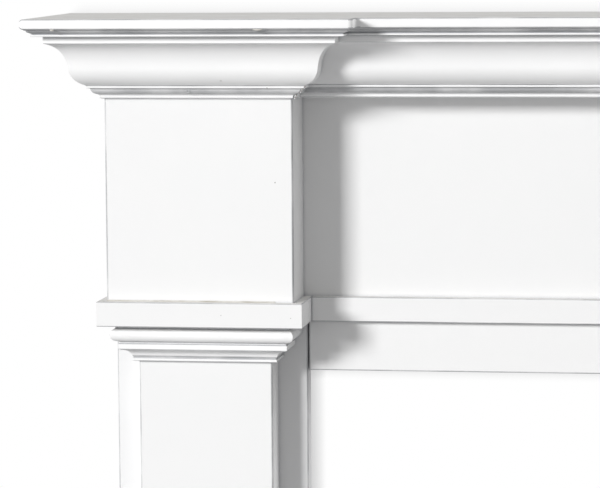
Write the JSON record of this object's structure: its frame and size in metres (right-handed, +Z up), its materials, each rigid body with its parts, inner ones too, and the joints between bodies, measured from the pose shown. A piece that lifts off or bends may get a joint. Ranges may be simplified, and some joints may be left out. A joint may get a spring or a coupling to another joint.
{
  "type": "miniature fireplace mantel",
  "caption": "White painted dolls' house fireplace mantel with a breakfront shelf on a cove and ogee crown, plain frieze blocks, a banded frieze, and pilasters with capitals and plinths.",
  "frame": {"origin": "middle of the base, on the floor, halfway between the wall plane and the shelf's front edge", "axes": "+Z up, -Y out into the room, +Y into the wall, +X to the right as seen from the room"},
  "size_m": [0.153, 0.017, 0.112],
  "materials": {
    "white_paint": "wood under several coats of satin white paint",
    "bare_wood": "sanded and unfinished"
  },
  "bodies": {
    "root": {"shelf_board": "white_paint", "frieze_board": "white_paint", "lintel_board": "white_paint", "head_return": "white_paint", "rear_rail": "bare_wood", "crown_packer": "bare_wood", "frieze_band": "white_paint", "crown_middle": "white_paint", "glue_blocks": "bare_wood", "leg_board_left": "white_paint", "side_return_left": "white_paint", "jamb_left": "white_paint", "frieze_block_left": "white_paint", "shaft_left": "white_paint", "plinth_left": "white_paint", "crown_front_left": "white_paint", "crown_outer_left": "white_paint", "crown_inner_left": "white_paint", "band_front_left": "white_paint", "band_outer_left": "white_paint", "band_inner_left": "white_paint", "capital_front_left": "white_paint", "capital_outer_left": "white_paint", "capital_inner_left": "white_paint", "base_front_left": "white_paint", "base_outer_left": "white_paint", "base_inner_left": "white_paint", "leg_board_right": "white_paint", "side_return_right": "white_paint", "jamb_right": "white_paint", "frieze_block_right": "white_paint", "shaft_right": "white_paint", "plinth_right": "white_paint", "crown_front_right": "white_paint", "crown_outer_right": "white_paint", "crown_inner_right": "white_paint", "band_front_right": "white_paint", "band_outer_right": "white_paint", "band_inner_right": "white_paint", "capital_front_right": "white_paint", "capital_outer_right": "white_paint", "capital_inner_right": "white_paint", "base_front_right": "white_paint", "base_outer_right": "white_paint", "base_inner_right": "white_paint"}
  },
  "joints": []
}
